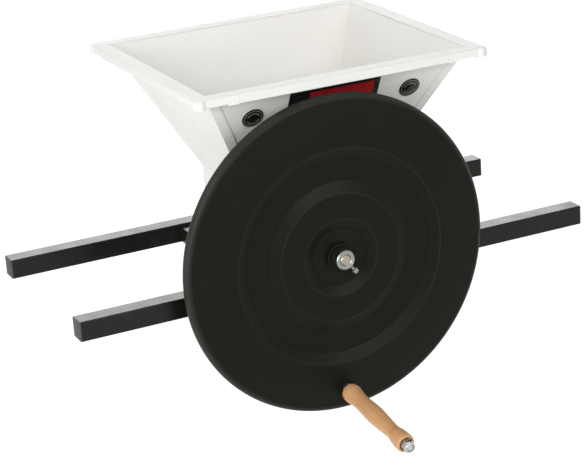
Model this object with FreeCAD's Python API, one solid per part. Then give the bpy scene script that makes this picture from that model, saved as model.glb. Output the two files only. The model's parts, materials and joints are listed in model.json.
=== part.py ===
"""Hand-cranked apple mill: hopper on two rails, toothed drum, pressed flywheel with a wooden crank grip.

Millimetres. X runs along the rails, -Y points to the flywheel's side, +Z is up.
The origin is midway between the rails, on the plane of their undersides, which rest across a tub.
"""
import FreeCAD, Part
import math
import os

V = FreeCAD.Vector

# Rails and cross tubes
rail_size = 30.0
rail_wall = 2.0
rail_length = 830.0
rail_spacing = 297.3
plug_flange = 1.5
plug_point = 1.8
plug_stub = 16.0
plug_top_share = 0.45
cross_size = 25.0
cross_wall = 2.0

# Hopper and chamber, sizes of the inside surfaces
sheet = 1.5
mouth_half_x = 208.5
mouth_half_y = 179.5
chamber_half_x = 109.5
chamber_half_y = 80.0
throat_height = 136.0
bend_radius = 14.0
fold_width = 14.0

# Rim trim
rim_width = 23.5
rim_height = 13.8
rim_wall = 2.2
rim_round = 3.0
rim_return = 11.0
rim_grip = 16.0
rim_play = 0.8
rim_over_wheel = 10.2
corner_leg = 65.0
corner_step = 2.3
corner_step_length = 17.0
bulge_radius = 10.0
bulge_proud = 2.0

# Label and badges on the front panel
badge_offset = 127.0
badge_drop = 53.0
badge_radius = 16.5
badge_edge = 1.2
badge_dome = 1.6
label_width = 146.0
label_length = 80.0
label_drop = 20.0
label_thickness = 0.6

# Shaft, bearing blocks and bushes
shaft_offset = -32.0
shaft_above_rail = 30.0
shaft_radius = 8.0
shaft_chamfer = 1.3
running_clearance = 0.06
seat_clearance = 0.05
body_clearance = 0.3
bush_wall = 4.0
bush_flange = 2.0
bush_flange_wall = 3.0
block_length = 26.0
block_wall = 9.0
block_base = 10.0
block_ear = 21.0
wall_bush_wall = 3.5
wall_bush_inside = 3.0

# Drum, knives and fixed plates
drum_apothem = 40.0
drum_end_gap = 6.0
knife_count = 6
knife_thickness = 3.0
knife_heel = 2.0
tooth_length = 12.0
tooth_width = 8.0
tooth_clearance = 2.0
tip_clearance = 2.5
plate_thickness = 3.0
plate_flange = 26.0
plate_drop = 8.0
breast_angle = 35.0
breast_end_gap = 8.0
comb_thickness = 4.0
comb_length = 42.0
deflector_angle = 50.0
pin_radius = 3.0
pin_recess = 2.0
pin_spacing = 80.0

# Flywheel
wheel_radius = 241.0
wheel_sheet = 3.0
wheel_skirt = 10.5
wheel_bead = 5.5
wheel_edge_round = 10.0
wheel_press_round = 7.0
cone_angle = 6.0
band_inner = 164.0
band_height = 17.0
recess_outer = 147.5
recess_inner = 114.5
recess_height = 8.0
disc_outer = 96.5
disc_inner = 58.5
disc_height = 16.0
centre_radius = 43.5
centre_height = 8.5
wheel_gap = 25.6

# Hub and collars
hub_radius = 16.5
hub_tail = 8.0
hub_flange_radius = 40.0
hub_flange = 4.0
hub_front = 18.5
hub_ring_wall = 4.0
hub_ring_width = 6.0
hub_ring_groove = 1.2
hub_ring_groove_start = 2.4
hub_ring_groove_end = 3.3
hub_ring_bevel_start = 5.1
collar_radius = 14.6
collar_width = 12.0
collar_chamfer = 1.2
collar_screw_angle = -51.0
collar_screw_neck = 8.0
set_screw_head = 7.0
set_screw_head_length = 7.0
key_size = 5.0
key_inset = 6.0
spacer_wall = 5.0
rear_overhang = 3.0

# Crank
crank_inset = 33.0
crank_angle = 269.7
crank_nut_turn = 25.0
crank_washer = 1.5
crank_washer_radius = 9.0
grip_length = 171.0
grip_recess = 3.0
grip_recess_gap = 0.7
grip_bore_clearance = 0.25
lock_nut_length = 14.0
lock_nut_hexagon = 11.0
lock_collar_radius = 7.5
lock_collar_round = 1.6

# Outline of the grip: shares of its length from the wheel outwards, with the radius at each
grip_outline = [(0.0, 11.8), (0.03, 14.0), (0.075, 14.4), (0.15, 12.7), (0.25, 11.9), (0.36, 12.8), (0.48, 13.4),
                (0.62, 12.2), (0.78, 10.8), (0.86, 12.9), (0.94, 13.9), (0.985, 13.6), (1.0, 12.4)]

# Fasteners: shank radius, size across flats, head height, nut height
m5 = {"r": 2.5, "flats": 8.0, "head": 2.6, "nut": 4.0}
m6 = {"r": 3.0, "flats": 10.0, "head": 4.0, "nut": 5.0}
m8 = {"r": 4.0, "flats": 13.0, "head": 5.3, "nut": 6.5}
m10 = {"r": 5.0, "flats": 17.0, "head": 6.4, "nut": 5.0}
hole_clearance = 0.2
bolt_end = 2.0
hexagon_top_share = 0.95
dome_radius_share = 0.8
dome_height_share = 0.8
dome_round_share = 0.7
frame_bolt_spacing = 90.0
plate_bolt_spacing = 70.0
knife_screw_share = 0.8
comb_bolt_spacing = 50.0

# Places worked out from the sizes above
rail_y = rail_spacing / 2
inner_rail_y = rail_y - rail_size / 2
shaft_z = rail_size + shaft_above_rail
hopper_top = shaft_z + wheel_radius + rim_over_wheel + rim_height
plate_top = throat_height - plate_drop
wall_x = chamber_half_x + sheet
flange_top = hopper_top - rim_wall
flange_reach = rim_width - rim_wall - rim_play
outer_x = mouth_half_x + rim_width
outer_y = mouth_half_y + rim_width
block_front = rail_y + block_length / 2
bush_front = block_front + bush_flange
hub_ring_radius = hub_radius + hub_ring_wall
crank_radius = wheel_radius - crank_inset
band_drop = math.tan(math.radians(cone_angle))
wheel_edge = band_height - (wheel_radius - band_inner) * band_drop
wheel_back = wheel_edge - wheel_skirt
knife_outer = drum_apothem + knife_thickness
drum_half_flat = drum_apothem * math.tan(math.pi / knife_count)
root_radius = math.hypot(knife_outer, drum_half_flat)
tip_radius = math.hypot(knife_outer, drum_half_flat + tooth_length)
drum_half_length = chamber_half_y - drum_end_gap
far = 2 * rail_length
same_length = 1e-6


def front_slope():
    """Angle between the front panel and the vertical."""
    return math.atan((mouth_half_y - chamber_half_y) / (flange_top - throat_height))


def front_reach(height, layers):
    """Distance from the hopper's middle to its front face at a height, over a number of sheets."""
    lean = front_slope()
    return chamber_half_y + (height - throat_height) * math.tan(lean) + layers * sheet / math.cos(lean)


wheel_plane = wheel_back - wheel_bead - wheel_gap - front_reach(shaft_z + wheel_radius, 2)


def box(x0, x1, y0, y1, z0, z1):
    return Part.makeBox(x1 - x0, y1 - y0, z1 - z0, V(x0, y0, z0))


def rod(radius, start, direction, length):
    return Part.makeCylinder(radius, length, start, direction)


def hexagon(flats, height):
    """Six-sided prism standing on the XY plane, with its corners taken off at the top."""
    corner = flats / math.sqrt(3)
    points = [V(corner * math.cos(k * math.pi / 3), corner * math.sin(k * math.pi / 3), 0) for k in range(7)]
    prism = Part.Face(Part.makePolygon(points)).extrude(V(0, 0, height))
    slope = height + corner - flats / 2
    cone = Part.makeCone(flats / 2 + slope, flats / 2 * hexagon_top_share, slope, V(0, 0, height - slope))
    return prism.common(cone)


def aimed(shape, origin, direction):
    """Copy of a shape built along +Z from the origin, turned along direction and moved to origin."""
    turned = shape.copy()
    move = FreeCAD.Placement(origin, FreeCAD.Rotation(V(0, 0, 1), direction))
    turned.Placement = move.multiply(shape.Placement)
    return turned


def mirror_x(shape):
    return shape.mirror(V(0, 0, 0), V(1, 0, 0))


def mirror_y(shape):
    return shape.mirror(V(0, 0, 0), V(0, 1, 0))


def rounded_edges(points, radii):
    """Edges of a path in the XZ plane, with each inner corner rounded to its own radius."""
    edges = []
    start = points[0]
    for before, corner, after, radius in zip(points, points[1:], points[2:], radii[1:]):
        back = (before - corner).normalize()
        ahead = (after - corner).normalize()
        end = corner
        if radius > 0:
            half = back.getAngle(ahead) / 2
            middle = (back + ahead).normalize()
            end = corner + back * (radius / math.tan(half))
            leave = corner + ahead * (radius / math.tan(half))
            summit = corner + middle * (radius / math.sin(half) - radius)
        edges.append(Part.LineSegment(start, end).toShape())
        start = end
        if radius > 0:
            edges.append(Part.Arc(end, summit, leave).toShape())
            start = leave
    edges.append(Part.LineSegment(start, points[-1]).toShape())
    return edges


def closed_face(points, radii):
    """Face inside a closed path in the XZ plane, whose first point is sharp."""
    return Part.Face(Part.Wire(rounded_edges(points + [points[0]], radii + [0])))


def offset_path(points, radii, distance):
    """Path moved to the right of its direction of travel, with its bends kept concentric."""
    moved = []
    bends = []
    directions = [(b - a).normalize() for a, b in zip(points, points[1:])]
    for index, point in enumerate(points):
        before = directions[max(index - 1, 0)]
        after = directions[min(index, len(directions) - 1)]
        normal = V(before.z + after.z, 0, -before.x - after.x).normalize()
        share = normal.x * after.z - normal.z * after.x
        moved.append(point + normal * (distance / share))
        turn = before.x * after.z - before.z * after.x
        bends.append(radii[index] + math.copysign(distance, turn) if radii[index] > 0 else 0)
    return moved, bends


def sheet_face(points, radii, thickness):
    """Face of bent sheet between a path in the XZ plane and the same path moved to its right."""
    other, bends = offset_path(points, radii, thickness)
    edges = rounded_edges(points, radii) + rounded_edges(other, bends)
    edges.append(Part.LineSegment(points[0], other[0]).toShape())
    edges.append(Part.LineSegment(points[-1], other[-1]).toShape())
    return Part.Face(Part.Wire(Part.__sortEdges__(edges)))


def extruded_y(face, half_length):
    return face.translated(V(0, -half_length, 0)).extrude(V(0, 2 * half_length, 0))


def revolved(face):
    return face.revolve(V(0, 0, 0), V(0, 0, 1), 360)


def on_shaft(shape, plane):
    """A shape built along +Z, moved to the shaft with +Z pointing to the front and z = 0 at y = plane."""
    return aimed(shape, V(shaft_offset, plane, shaft_z), V(0, -1, 0))


def ring(outer, inner, height, chamfer=0.0):
    """Turned ring on the Z axis, with its outer edges and its bore's front edge chamfered."""
    points = [V(inner, 0, 0), V(outer - chamfer, 0, 0), V(outer, 0, chamfer), V(outer, 0, height - chamfer),
              V(outer - chamfer, 0, height), V(inner + chamfer, 0, height), V(inner, 0, height - chamfer)]
    if chamfer == 0:
        points = [points[0], points[1], points[4], points[5]]
    return revolved(Part.Face(Part.makePolygon(points + [points[0]])))


def square_tube(size, wall, length):
    """Square tube along Z, centred on it, with rounded outer edges."""
    half = size / 2
    outer = box(-half, half, -half, half, 0, length)
    outer = outer.makeFillet(wall, [edge for edge in outer.Edges if edge.Length > length - wall])
    hollow = half - wall
    return outer.cut(box(-hollow, hollow, -hollow, hollow, -wall, length + wall))


# Rails

def bearing_bolt_places():
    step = shaft_radius + bush_wall + block_wall + block_ear / 2
    return [V(shaft_offset + side * step, face * rail_y, 0) for side in (-1, 1) for face in (-1, 1)]


def rail(side):
    tube = aimed(square_tube(rail_size, rail_wall, rail_length),
                 V(-rail_length / 2, side * rail_y, rail_size / 2), V(1, 0, 0))
    holes = [rod(m8["r"] + hole_clearance, place + V(0, 0, rail_size / 2), V(0, 0, 1), rail_size)
             for place in bearing_bolt_places()]
    return tube.cut(holes)


def end_plug():
    """Plug on the Z axis: stub below the tube's end at z = 0, low pyramid above it."""
    half = rail_size / 2
    hollow = half - rail_wall
    head = box(-half, half, -half, half, 0, plug_flange)
    upright = [edge for edge in head.Edges if abs(edge.Length - plug_flange) < same_length]
    head = head.makeFillet(rail_wall, upright)
    low = half - rail_wall / 2
    high = half * plug_top_share
    pyramid = Part.makeWedge(-low, 0, -low, -high, -high, low, plug_point, low, high, high)
    pyramid = aimed(pyramid, V(0, 0, plug_flange), V(0, 0, 1))
    pyramid.rotate(V(0, 0, plug_flange), V(1, 0, 0), 90)
    stub = box(-hollow, hollow, -hollow, hollow, -plug_stub, 0)
    core = hollow - rail_wall
    stub = stub.cut(box(-core, core, -core, core, -2 * plug_stub, -rail_wall))
    return head.fuse([pyramid, stub]).removeSplitter()


def rail_end_plugs():
    plug = end_plug()
    places = [(end, side) for end in (-1, 1) for side in (-1, 1)]
    return [aimed(plug, V(end * rail_length / 2, side * rail_y, rail_size / 2), V(end, 0, 0))
            for end, side in places]


def cross_tube(side):
    tube = aimed(square_tube(cross_size, cross_wall, 2 * inner_rail_y),
                 V(side * (wall_x + cross_size / 2), -inner_rail_y, cross_size / 2), V(0, 1, 0))
    return drilled(tube, frame_bolt_places(side), V(1, 0, 0), m6)


def frame_bolt_places(side):
    """Points on the inside face of a chamber side wall, level with the cross tube's middle."""
    reach = frame_bolt_spacing / 2
    return [V(side * chamber_half_x, y, cross_size / 2) for y in (-reach, reach)]


def plate_bolt_places(side):
    """Points on the inner face of a plate's flange, on a chamber side wall."""
    height = plate_top - plate_flange / 2
    reach = plate_bolt_spacing / 2
    return [V(side * (chamber_half_x - plate_thickness), y, height) for y in (-reach, reach)]


# Hopper

def envelope(chamber_half, mouth_half, offset):
    """Solid with the section of the hopper's inside in the XZ plane, grown by offset and endless in Y."""
    slope = (mouth_half - chamber_half) / (flange_top - throat_height)
    over = hopper_top + rim_height
    points = [V(chamber_half, 0, 0), V(chamber_half, 0, throat_height),
              V(chamber_half + slope * (over - throat_height), 0, over)]
    path, bends = offset_path(points, [0, bend_radius, 0], offset)
    right = rounded_edges(path, bends)
    left = [edge.mirror(V(0, 0, 0), V(1, 0, 0)) for edge in right]
    across = [Part.LineSegment(V(-end.x, 0, end.z), end).toShape() for end in (path[0], path[-1])]
    face = Part.Face(Part.Wire(Part.__sortEdges__(right + left + across)))
    return extruded_y(face, far).common(box(-far, far, -far, far, 0, flange_top))


def envelope_x(offset):
    return envelope(chamber_half_x, mouth_half_x, offset)


def envelope_y(offset):
    solid = envelope(chamber_half_y, mouth_half_y, offset)
    solid.rotate(V(0, 0, 0), V(0, 0, 1), 90)
    return solid


def shaft_line(radius):
    return rod(radius, V(shaft_offset, -far, shaft_z), V(0, 1, 0), 2 * far)


def hopper_side_panel(side):
    """Bent side sheet: chamber wall, sloping wall and rim flange, folded over the front and back sheets."""
    half = box(0, side * far, -far, far, 0, far) if side > 0 else box(-far, 0, -far, far, 0, far)
    wall = envelope_x(sheet).cut(envelope_x(0)).common(envelope_y(sheet))
    edges = envelope_x(sheet).cut(envelope_x(sheet - fold_width))
    folds = edges.common(envelope_y(2 * sheet).cut(envelope_y(sheet)))
    folds = folds.common(box(-far, far, -far, far, 0, flange_top - sheet))
    flange = box(mouth_half_x, mouth_half_x + flange_reach, -mouth_half_y, mouth_half_y,
                 flange_top - sheet, flange_top)
    panel = wall.common(half).fuse([folds.common(half), flange if side > 0 else mirror_x(flange)])
    holes = [rod(m6["r"] + hole_clearance, V(0, place.y, place.z), V(side, 0, 0), far)
             for place in frame_bolt_places(side) + plate_bolt_places(side)]
    return panel.cut(holes).removeSplitter()


def hopper_end_panel(side):
    """Bent front or back sheet between the side sheets, with the hole for the shaft."""
    half = box(-far, far, 0, far, 0, far) if side > 0 else box(-far, far, -far, 0, 0, far)
    between = envelope_x(0)
    wall = between.common(envelope_y(sheet)).cut(envelope_y(0)).common(half)
    flange = box(-mouth_half_x, mouth_half_x, mouth_half_y, mouth_half_y + flange_reach,
                 flange_top - sheet, flange_top).common(between)
    panel = wall.fuse(flange if side > 0 else mirror_y(flange))
    panel = panel.cut(shaft_line(shaft_radius + wall_bush_wall + body_clearance + seat_clearance))
    return panel.removeSplitter()


# Rim trim: the section lies in the XZ plane, x outwards from the mouth's edge, z up, top at z = 0

def rim_section():
    outer = rim_width
    grip_top = -rim_wall - sheet
    points = [V(0, 0, -rim_wall), V(0, 0, 0), V(outer, 0, 0), V(outer, 0, -rim_height),
              V(outer - rim_return, 0, -rim_height), V(outer - rim_return, 0, rim_wall - rim_height),
              V(outer - rim_wall, 0, rim_wall - rim_height), V(outer - rim_wall, 0, grip_top - rim_wall),
              V(outer - rim_grip, 0, grip_top - rim_wall), V(outer - rim_grip, 0, grip_top),
              V(outer - rim_wall, 0, grip_top), V(outer - rim_wall, 0, -rim_wall)]
    radii = [0, rim_wall / 2, rim_round, rim_wall] + [0] * (len(points) - 4)
    return closed_face(points, radii)


def corner_section(height):
    outer = rim_width
    points = [V(0, 0, -rim_wall), V(0, 0, 0), V(outer, 0, 0), V(outer, 0, -height),
              V(outer - rim_wall, 0, -height), V(outer - rim_wall, 0, -rim_wall)]
    return closed_face(points, [0, rim_wall / 2, rim_round, 0, 0, 0])


def rim_strip(face, edge, start, length):
    """Section extruded along +Y from start: its inner edge at x = edge, its top at the hopper's top."""
    return face.translated(V(edge, start, hopper_top)).extrude(V(0, length, 0))


def rim_profile(direction):
    """Rim profile between two corners, on the side that direction names: x, -x, y or -y."""
    edge = mouth_half_x if direction.endswith("x") else mouth_half_y
    reach = (outer_y if direction.endswith("x") else outer_x) - corner_leg
    strip = rim_strip(rim_section(), edge, -reach, 2 * reach)
    turn = {"x": 0, "y": 90, "-x": 180, "-y": 270}[direction]
    strip.rotate(V(0, 0, 0), V(0, 0, 1), turn)
    return strip


def corner_arm():
    """One arm of a rim corner along Y, mitred at the corner of the mouth, with its deeper end."""
    reach = outer_y - corner_leg
    arm = rim_strip(corner_section(rim_height - corner_step), mouth_half_x, reach, corner_leg)
    skirt = rim_strip(corner_section(rim_height), mouth_half_x, reach, corner_step_length)
    start = V(mouth_half_x, mouth_half_y, 0)
    mitre = Part.Face(Part.makePolygon([start, start + V(0, far, 0), start + V(far, far, 0), start]))
    return arm.fuse(skirt).cut(mitre.extrude(V(0, 0, far)))


def rim_corner(side_x, side_y):
    arm = corner_arm()
    other = arm.mirror(V(mouth_half_x, mouth_half_y, 0), V(1, -1, 0))
    points = [V(0, 0, 0), V(0, 0, -rim_height), V(bulge_radius, 0, -rim_height), V(bulge_radius, 0, 0)]
    bulge = revolved(closed_face(points, [0, 0, rim_wall / 2, rim_round]))
    centre = bulge_proud - bulge_radius
    bulge = bulge.translated(V(outer_x + centre, outer_y + centre, hopper_top))
    corner = arm.fuse([other, bulge]).removeSplitter()
    corner = corner if side_x > 0 else mirror_x(corner)
    return corner if side_y > 0 else mirror_y(corner)


# Label and badges: built on the XY plane, then laid on the front panel's outer face

def on_front_panel(shape, x, height):
    laid = shape.copy()
    laid.rotate(V(0, 0, 0), V(1, 0, 0), 90 + math.degrees(front_slope()))
    return laid.translated(V(x, -front_reach(height, 1), height))


def front_label():
    plate = box(-label_width / 2, label_width / 2, -label_length, 0, 0, label_thickness)
    return on_front_panel(plate, 0, hopper_top - label_drop)


def badge():
    """Round badge with a straight edge and a domed face."""
    ball = (badge_radius ** 2 + badge_dome ** 2) / (2 * badge_dome)
    height = badge_edge + badge_dome
    dome = Part.makeSphere(ball, V(0, 0, height - ball))
    return rod(badge_radius, V(0, 0, 0), V(0, 0, 1), height).common(dome)


def front_badges():
    return [on_front_panel(badge(), side * badge_offset, hopper_top - badge_drop) for side in (-1, 1)]


# Fasteners

def hex_bolt(size, length):
    """Bolt with its head above z = 0 and its shank below."""
    return hexagon(size["flats"], size["head"]).fuse(rod(size["r"], V(0, 0, -length), V(0, 0, 1), length))


def dome_bolt(size, length):
    """Round-headed bolt with its low head above z = 0 and its shank below."""
    radius = size["flats"] * dome_radius_share
    height = size["head"] * dome_height_share
    head = revolved(closed_face([V(0, 0, 0), V(radius, 0, 0), V(radius, 0, height), V(0, 0, height)],
                                [0, 0, height * dome_round_share, 0]))
    return head.fuse(rod(size["r"], V(0, 0, -length), V(0, 0, 1), length))


def nut(size):
    bore = rod(size["r"] + seat_clearance, V(0, 0, 0), V(0, 0, 1), size["nut"])
    return hexagon(size["flats"], size["nut"]).cut(bore)


def hopper_bolts():
    grip = sheet + cross_size + m6["nut"] + bolt_end
    bolt = dome_bolt(m6, grip)
    return [aimed(bolt, place, V(-side, 0, 0)) for side in (-1, 1) for place in frame_bolt_places(side)]


def hopper_nuts():
    step = sheet + cross_size
    return [aimed(nut(m6), place + V(side * step, 0, 0), V(side, 0, 0))
            for side in (-1, 1) for place in frame_bolt_places(side)]


def plate_bolts():
    grip = plate_thickness + sheet + m6["nut"] + bolt_end
    bolt = dome_bolt(m6, grip)
    return [aimed(bolt, place, V(-side, 0, 0)) for side in (-1, 1) for place in plate_bolt_places(side)]


def plate_nuts():
    step = plate_thickness + sheet
    return [aimed(nut(m6), place + V(side * step, 0, 0), V(side, 0, 0))
            for side in (-1, 1) for place in plate_bolt_places(side)]


# Bearings

def bearing_block(side):
    bore = shaft_radius + bush_wall
    radius = bore + block_wall
    half = radius + block_ear
    low = side * rail_y - block_length / 2
    high = low + block_length
    base = box(shaft_offset - half, shaft_offset + half, low, high, rail_size, rail_size + block_base)
    column = box(shaft_offset - radius, shaft_offset + radius, low, high, rail_size, shaft_z)
    block = base.fuse([column, rod(radius, V(shaft_offset, low, shaft_z), V(0, 1, 0), block_length)])
    block = block.removeSplitter().cut(shaft_line(bore + seat_clearance))
    return drilled(block, bearing_bolt_places(), V(0, 0, 1), m8)


def bearing_bolts():
    grip = block_base + rail_wall + m8["nut"] + bolt_end
    return [aimed(hex_bolt(m8, grip), place + V(0, 0, rail_size + block_base), V(0, 0, 1))
            for place in bearing_bolt_places()]


def bearing_nuts():
    under = V(0, 0, rail_size - rail_wall)
    return [aimed(nut(m8), place + under, V(0, 0, -1)) for place in bearing_bolt_places()]


def bush(side):
    """Flanged bush in a bearing block, with its flange on the side away from the chamber."""
    bore = shaft_radius + running_clearance
    body = ring(shaft_radius + bush_wall, bore, block_length)
    flange = ring(shaft_radius + bush_wall + bush_flange_wall, bore, bush_flange)
    piece = body.fuse(flange.translated(V(0, 0, block_length))).removeSplitter()
    return aimed(piece, V(shaft_offset, side * (rail_y - block_length / 2), shaft_z), V(0, side, 0))


def wall_bushes():
    """Plastic bushes where the shaft passes through the chamber's front and back sheets."""
    bore = shaft_radius + body_clearance
    body = ring(bore + wall_bush_wall, bore, wall_bush_inside + sheet)
    flange = ring(bore + 2 * wall_bush_wall, bore, bush_flange)
    piece = body.fuse(flange.translated(V(0, 0, wall_bush_inside + sheet))).removeSplitter()
    return [aimed(piece, V(shaft_offset, side * (chamber_half_y - wall_bush_inside), shaft_z), V(0, side, 0))
            for side in (-1, 1)]


# Fixed plates in the chamber

def tooth_places():
    """Middles of the teeth along Y, the same on every knife."""
    pitch = 2 * tooth_width
    count = int(2 * drum_half_length / pitch)
    return [(index - (count - 1) / 2) * pitch for index in range(count)]


def breast_slope():
    """Bend on the right wall, direction down the slope and the slope's upward normal."""
    angle = math.radians(breast_angle)
    bend = V(chamber_half_x, 0, plate_top - plate_flange)
    return bend, V(-math.cos(angle), 0, -math.sin(angle)), V(-math.sin(angle), 0, math.cos(angle))


def slope_end():
    """Distance from the bend down the slope's lower face to the place where the breast plate ends."""
    bend, slope, normal = breast_slope()
    to_drum = V(shaft_offset, 0, shaft_z) - bend
    aside = to_drum.dot(normal)
    return to_drum.dot(slope) - math.sqrt((tip_radius + breast_end_gap) ** 2 - aside ** 2)


def comb_bolt_places():
    """Points on the slope's lower face, over the middle of the comb's seat."""
    bend, slope, normal = breast_slope()
    centre = bend + slope * (slope_end() - comb_length / 2)
    return [centre + V(0, y, 0) for y in (-comb_bolt_spacing, 0, comb_bolt_spacing)]


def drilled(shape, places, direction, size):
    """The shape with a bolt's clearance hole through it at each place."""
    radius = size["r"] + hole_clearance
    return shape.cut([rod(radius, place - direction * far, direction, 2 * far) for place in places])


def breast_plate():
    """Bent plate: a flange on the right wall, then a slope down towards the drum's lower right."""
    bend, slope, normal = breast_slope()
    path = [V(bend.x, 0, plate_top), bend, bend + slope * (2 * chamber_half_x)]
    face = sheet_face(path, [0, plate_thickness, 0], plate_thickness)
    plate = extruded_y(face, chamber_half_y).cut(shaft_line(tip_radius + breast_end_gap))
    plate = max(plate.Solids, key=lambda solid: solid.BoundBox.ZMax)
    plate = drilled(plate, plate_bolt_places(1), V(1, 0, 0), m6)
    return drilled(plate, comb_bolt_places(), normal, m6)


def breast_comb():
    """Toothed strip under the breast plate's slope: its teeth stand in the gaps between the drum's teeth."""
    bend, slope, normal = breast_slope()
    start = bend + slope * (slope_end() - comb_length)
    reach = slope * (2 * comb_length)
    corners = [start, start + reach, start + reach - normal * comb_thickness, start - normal * comb_thickness]
    strip = extruded_y(Part.Face(Part.makePolygon(corners + [start])), chamber_half_y)
    notch = tooth_width / 2 + tooth_clearance
    paths = [rod(tip_radius + tip_clearance, V(shaft_offset, y - notch, shaft_z), V(0, 1, 0), 2 * notch)
             for y in tooth_places()]
    strip = strip.cut([shaft_line(root_radius + tip_clearance)] + paths)
    strip = max(strip.Solids, key=lambda solid: solid.BoundBox.XMax)
    return drilled(strip, comb_bolt_places(), normal, m6)


def comb_bolts():
    bend, slope, normal = breast_slope()
    grip = plate_thickness + comb_thickness + m6["nut"] + bolt_end
    bolt = dome_bolt(m6, grip)
    return [aimed(bolt, place + normal * plate_thickness, normal) for place in comb_bolt_places()]


def comb_nuts():
    bend, slope, normal = breast_slope()
    return [aimed(nut(m6), place - normal * comb_thickness, -normal) for place in comb_bolt_places()]


def deflector_plate():
    """Bent plate on the left wall that leads fruit onto the drum."""
    angle = math.radians(deflector_angle)
    bend = V(-chamber_half_x, 0, plate_top - plate_flange)
    slope = V(math.cos(angle), 0, -math.sin(angle))
    path = [bend + slope * chamber_half_x, bend, V(-chamber_half_x, 0, plate_top)]
    face = sheet_face(path, [0, plate_thickness, 0], plate_thickness)
    plate = extruded_y(face, chamber_half_y).cut(shaft_line(tip_radius + tip_clearance))
    plate = max(plate.Solids, key=lambda solid: solid.BoundBox.ZMax)
    return drilled(plate, plate_bolt_places(-1), V(1, 0, 0), m6)


# Shaft and drum

def pin_places():
    return [-pin_spacing / 2, pin_spacing / 2]


def pin_holes():
    """Holes for the cross pins, right through the drum and the shaft."""
    radius = pin_radius + seat_clearance
    low = V(shaft_offset, 0, shaft_z - tip_radius)
    return [rod(radius, low + V(0, y, 0), V(0, 0, 1), 2 * tip_radius) for y in pin_places()]


def shaft():
    front = wheel_plane - hub_front - collar_width
    back = bush_front + body_clearance + collar_width + rear_overhang
    piece = rod(shaft_radius, V(shaft_offset, front, shaft_z), V(0, 1, 0), back - front)
    piece = piece.makeChamfer(shaft_chamfer, [edge for edge in piece.Edges if len(edge.Vertexes) == 1])
    return piece.cut([key_space(0)] + pin_holes())


def key_space(clearance):
    """The hub key, half sunk in the top of the shaft, grown by a clearance at its sides, ends and top."""
    half = key_size / 2 + clearance
    low = shaft_z + shaft_radius - key_size / 2
    front = wheel_plane - hub_front + key_inset
    back = wheel_plane + hub_tail
    return box(shaft_offset - half, shaft_offset + half, front - clearance, back + clearance,
               low, low + key_size + clearance)


def round_drum(pieces):
    """Copies of pieces made on the drum's top flat, one set for each flat."""
    copies = []
    for index in range(knife_count):
        for piece in pieces:
            copy = piece.copy()
            copy.rotate(V(shaft_offset, 0, shaft_z), V(0, 1, 0), index * 360 / knife_count)
            copies.append(copy)
    return copies


def screw_depth():
    return (drum_apothem - shaft_radius) / 2


def screw_places():
    """Middles of the knife screws on the drum's top flat."""
    reach = drum_half_length * knife_screw_share
    return [V(shaft_offset, y, shaft_z + drum_apothem) for y in (-reach, 0, reach)]


def drum():
    """Six-sided drum with a flat face upwards, bored for the shaft, its pins and the knives' screws."""
    corner = V(shaft_offset + drum_half_flat, -drum_half_length, shaft_z + drum_apothem)
    corners = [vertex.Point for vertex in round_drum([Part.Vertex(corner)])]
    piece = Part.Face(Part.makePolygon(corners + [corners[0]])).extrude(V(0, 2 * drum_half_length, 0))
    depth = screw_depth() + seat_clearance
    holes = [rod(m5["r"] + seat_clearance, place, V(0, 0, -1), depth) for place in screw_places()]
    return piece.cut([shaft_line(shaft_radius + seat_clearance)] + pin_holes() + round_drum(holes))


def knives():
    """Toothed strips on the drum's flats, each reaching past its flat in the direction of travel."""
    low = shaft_z + drum_apothem
    high = low + knife_thickness
    heel = shaft_offset - drum_half_flat + knife_heel
    root = shaft_offset + drum_half_flat
    tip = root + tooth_length
    bar = box(heel, root, -drum_half_length, drum_half_length, low, high)
    teeth = [box(root, tip, y - tooth_width / 2, y + tooth_width / 2, low, high) for y in tooth_places()]
    holes = [rod(m5["r"] + seat_clearance, place, V(0, 0, 1), knife_thickness) for place in screw_places()]
    return round_drum([bar.fuse(teeth).removeSplitter().cut(holes)])


def knife_screws():
    screw = dome_bolt(m5, knife_thickness + screw_depth())
    return round_drum([screw.translated(place + V(0, 0, knife_thickness)) for place in screw_places()])


def drum_pins():
    reach = drum_apothem - pin_recess
    return [rod(pin_radius, V(shaft_offset, y, shaft_z - reach), V(0, 0, 1), 2 * reach) for y in pin_places()]


# Flywheel: built along Z, which points to the front, with z = 0 at the plane of its largest radius

def wheel_path():
    points = [V(wheel_radius, 0, wheel_back), V(wheel_radius, 0, wheel_edge), V(band_inner, 0, band_height),
              V(recess_outer, 0, recess_height), V(recess_inner, 0, recess_height),
              V(disc_outer, 0, disc_height), V(disc_inner, 0, disc_height),
              V(centre_radius, 0, centre_height), V(hub_radius + seat_clearance, 0, centre_height)]
    radii = [0, wheel_edge_round] + [wheel_press_round] * 6 + [0]
    return points, radii


def flywheel_disc():
    points, radii = wheel_path()
    inside, bends = offset_path(points, radii, -wheel_sheet)
    edges = rounded_edges(points, radii) + rounded_edges(inside, bends)
    edges.append(Part.LineSegment(points[0], inside[0]).toShape())
    edges.append(Part.LineSegment(points[-1], inside[-1]).toShape())
    disc = revolved(Part.Face(Part.Wire(Part.__sortEdges__(edges))))
    bead = Part.makeTorus(wheel_radius - wheel_bead, wheel_bead, V(0, 0, wheel_back), V(0, 0, 1))
    disc = on_shaft(disc.fuse(bead), wheel_plane)
    depth = 2 * wheel_sheet
    return disc.cut(on_crank(rod(m10["r"] + hole_clearance, V(0, 0, -depth), V(0, 0, 1), 2 * depth)))


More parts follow.
